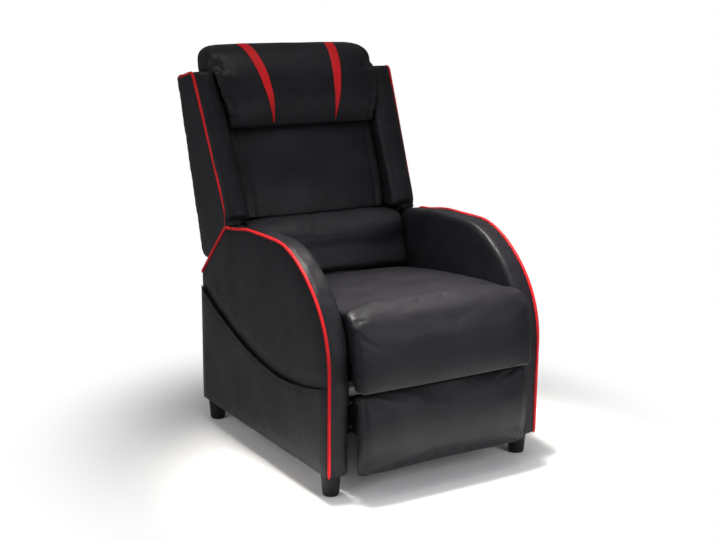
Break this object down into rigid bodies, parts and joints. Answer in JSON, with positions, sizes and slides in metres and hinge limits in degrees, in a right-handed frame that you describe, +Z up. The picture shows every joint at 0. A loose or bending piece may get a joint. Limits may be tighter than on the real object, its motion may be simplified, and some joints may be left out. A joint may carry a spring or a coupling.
{
  "type": "gaming recliner",
  "caption": "Push-back recliner with winged racing-style back, red piping, curved padded arms with side pockets and a fold-out footrest",
  "frame": {"origin": "centre of the footprint at floor level", "axes": "the chair faces -Y, +X is the sitter's left, +Z is up"},
  "size_m": [0.64, 0.9062, 1.036],
  "materials": {
    "black_leather": "soft-grained faux leather with a slight sheen",
    "red_leather": "smooth red faux leather",
    "black_plastic": "moulded, satin",
    "black_steel": "black powder coat",
    "zinc_steel": "bright zinc plate",
    "timber": "sawn softwood and plywood",
    "webbing": "woven elastic strap"
  },
  "bodies": {
    "base": {"left_arm_band": "black_leather", "left_arm_inner_board": "black_leather", "left_arm_outer_board": "black_leather", "left_arm_timbers": "timber", "left_arm_piping": "red_leather", "left_side_pocket": "black_leather", "left_front_foot": "black_plastic", "left_rear_foot": "black_plastic", "right_arm_band": "black_leather", "right_arm_inner_board": "black_leather", "right_arm_outer_board": "black_leather", "right_arm_timbers": "timber", "right_arm_piping": "red_leather", "right_side_pocket": "black_leather", "right_front_foot": "black_plastic", "right_rear_foot": "black_plastic", "foot_bolts": "zinc_steel", "rear_rail": "timber", "rail_screws": "zinc_steel", "base_plates": "black_steel", "base_bolts": "zinc_steel", "base_cross_tubes": "black_steel", "base_pivot_pins": "zinc_steel"},
    "front_swing": {"front_swing_links": "black_steel"},
    "rear_swing": {"rear_swing_links": "black_steel"},
    "seat": {"left_seat_plate": "black_steel", "right_seat_plate": "black_steel", "seat_side_rails": "timber", "seat_cross_rails": "timber", "seat_screws": "zinc_steel", "seat_springs": "zinc_steel", "seat_cushion": "black_leather", "seat_pivot_pins": "zinc_steel", "swing_pins": "zinc_steel"},
    "back": {"back_uprights": "timber", "back_cross_rails": "timber", "back_straps": "webbing", "back_cover": "black_leather", "back_brackets": "black_steel", "bracket_bolts": "zinc_steel", "wing_boards": "timber", "left_wing": "black_leather", "right_wing": "black_leather", "left_wing_piping": "red_leather", "right_wing_piping": "red_leather", "lumbar_cushion": "black_leather", "back_cushion": "black_leather", "headrest_pillow": "black_leather", "headrest_stripes": "red_leather"},
    "front_links": {"front_footrest_links": "black_steel", "footrest_cross_tube": "black_steel", "front_link_pins": "zinc_steel"},
    "rear_links": {"rear_footrest_links": "black_steel"},
    "upper_links": {"upper_footrest_links": "black_steel", "upper_link_pins": "zinc_steel"},
    "lower_links": {"lower_footrest_links": "black_steel"},
    "footrest": {"footrest_board": "timber", "footrest_pad": "black_leather", "footrest_brackets": "black_steel", "footrest_pins": "zinc_steel"}
  },
  "joints": [
    {"name": "front_swing", "type": "hinge", "parent": "base", "child": "front_swing", "pos_m": [0, -0.062, 0.15007], "axis": [1, 0, 0], "range_deg": [0, 30]},
    {"name": "seat_level", "type": "hinge", "parent": "front_swing", "child": "seat", "pos_m": [0, -0.03871, 0.237], "axis": [1, 0, 0], "range_deg": [-30, 0]},
    {"name": "rear_swing", "type": "hinge", "parent": "base", "child": "rear_swing", "pos_m": [0, 0.168, 0.15007], "axis": [1, 0, 0], "range_deg": [0, 30]},
    {"name": "back_recline", "type": "hinge", "parent": "seat", "child": "back", "pos_m": [0, 0.248, 0.315], "axis": [-1, 0, 0], "range_deg": [0, 42]},
    {"name": "footrest_open", "type": "hinge", "parent": "seat", "child": "front_links", "pos_m": [0, -0.332, 0.26], "axis": [-1, 0, 0], "range_deg": [0, 90]},
    {"name": "upper_link_turn", "type": "hinge", "parent": "front_links", "child": "upper_links", "pos_m": [0, -0.252, 0.087], "axis": [-1, 0, 0], "range_deg": [-90, 0]},
    {"name": "footrest_turn", "type": "hinge", "parent": "upper_links", "child": "footrest", "pos_m": [0, -0.354, 0.165], "axis": [-1, 0, 0], "range_deg": [0, 90]},
    {"name": "rear_link_turn", "type": "hinge", "parent": "seat", "child": "rear_links", "pos_m": [0, -0.202, 0.26], "axis": [-1, 0, 0], "range_deg": [0, 90]},
    {"name": "lower_link_turn", "type": "hinge", "parent": "front_links", "child": "lower_links", "pos_m": [0, -0.28558, 0.15961], "axis": [-1, 0, 0], "range_deg": [-90, 0]}
  ],
  "couplings": [
    {"joint": "front_swing", "follows": "back_recline", "ratio": 0.71429},
    {"joint": "seat_level", "follows": "back_recline", "ratio": -0.71429},
    {"joint": "rear_swing", "follows": "back_recline", "ratio": 0.71429},
    {"joint": "upper_link_turn", "follows": "footrest_open", "ratio": -1},
    {"joint": "footrest_turn", "follows": "footrest_open", "ratio": 1},
    {"joint": "rear_link_turn", "follows": "footrest_open", "ratio": 1},
    {"joint": "lower_link_turn", "follows": "footrest_open", "ratio": -1}
  ]
}
